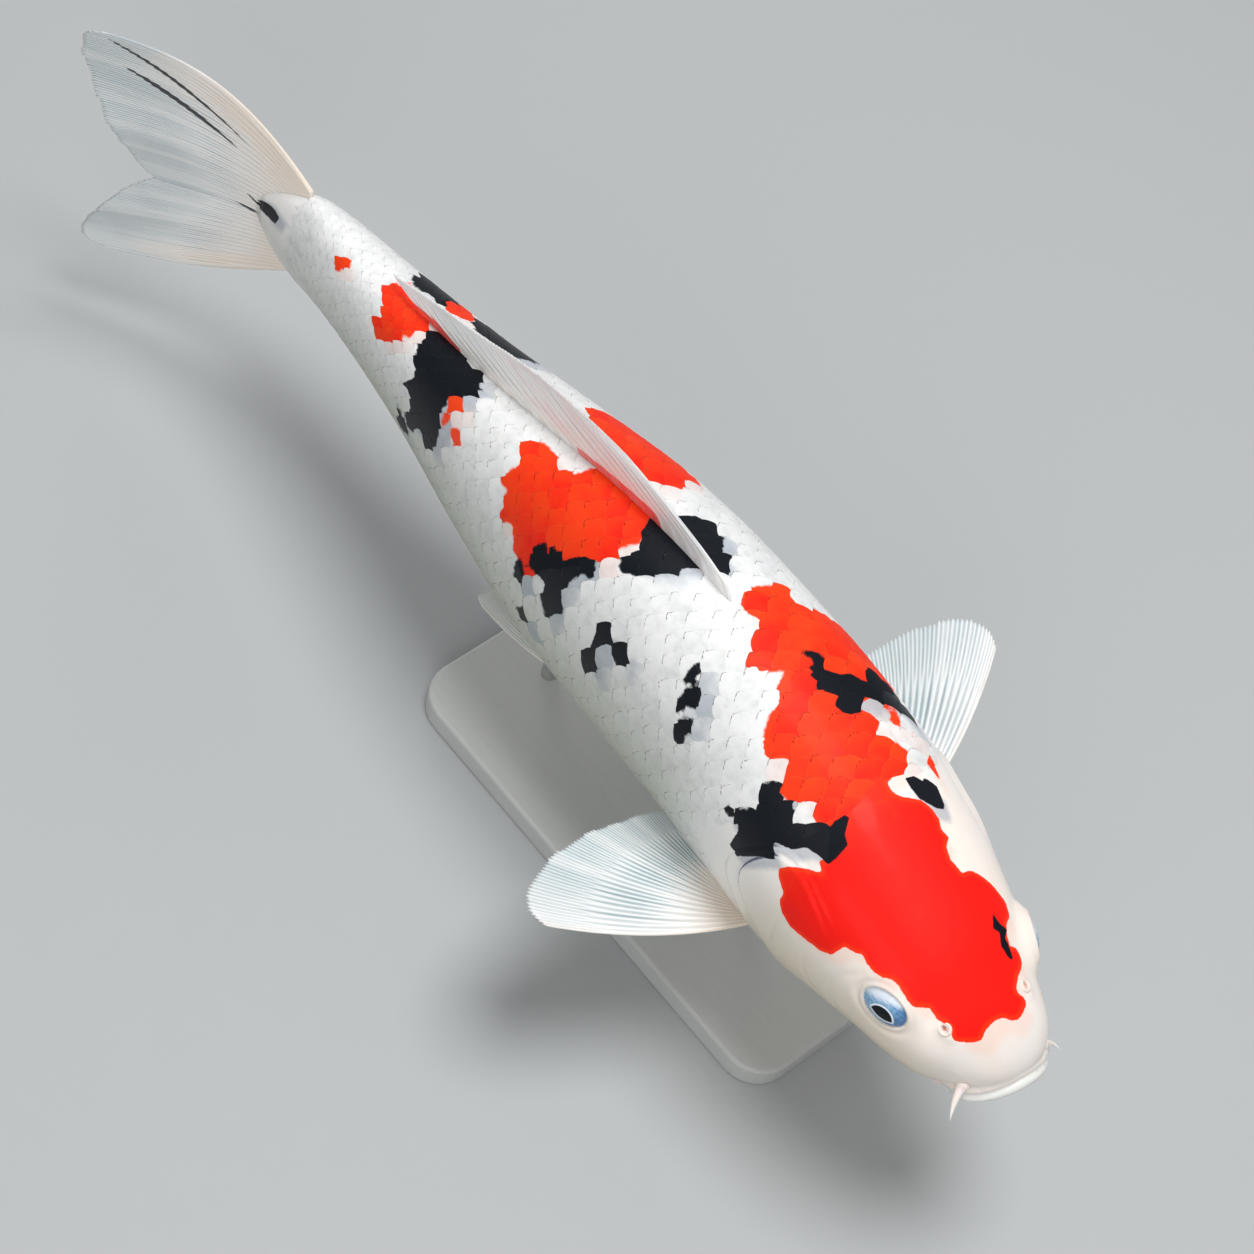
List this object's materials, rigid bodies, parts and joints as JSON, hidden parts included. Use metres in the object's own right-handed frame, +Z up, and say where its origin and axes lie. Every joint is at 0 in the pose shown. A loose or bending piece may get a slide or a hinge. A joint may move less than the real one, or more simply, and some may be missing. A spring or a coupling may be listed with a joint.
{
  "type": "koi carp",
  "caption": "Life-size still model of a swimming koi carp with spread fins, curved tail and barbels, held level over a flat base by upright rods.",
  "frame": {"origin": "centre of the foot of the stand's base, on the floor", "axes": "+X towards the fish's head, +Y towards the fish's left side, +Z up; the fish swims level"},
  "size_m": [0.5926, 0.2459, 0.2054],
  "materials": {
    "skin": "wet scaled skin in white, red and black, with a smooth head",
    "lips": "smooth pale skin of the lip, nostril rims and barbels",
    "fins": "translucent web over fine branching rays",
    "eyes": "clear bulge over a pale blue iris and a dark pupil",
    "stand_paint": "painted board with an eased rim",
    "stand_steel": "satin rod"
  },
  "bodies": {
    "root": {"head": "skin", "trunk_front": "skin", "trunk_rear": "skin", "tail_stalk": "skin", "lower_jaw": "skin", "gill_cover_right": "skin", "gill_cover_left": "skin", "upper_lip": "lips", "nostril_right": "lips", "nostril_left": "lips", "barbel_front_right": "lips", "barbel_front_left": "lips", "barbel_rear_right": "lips", "barbel_rear_left": "lips", "eye_right": "eyes", "eye_left": "eyes", "dorsal_fin": "fins", "anal_fin": "fins", "caudal_fin_upper": "fins", "caudal_fin_lower": "fins", "pectoral_fin_right": "fins", "pectoral_fin_left": "fins", "pelvic_fin_right": "fins", "pelvic_fin_left": "fins", "stand_base": "stand_paint", "stand_rod_front": "stand_steel", "stand_rod_rear": "stand_steel"}
  },
  "joints": []
}
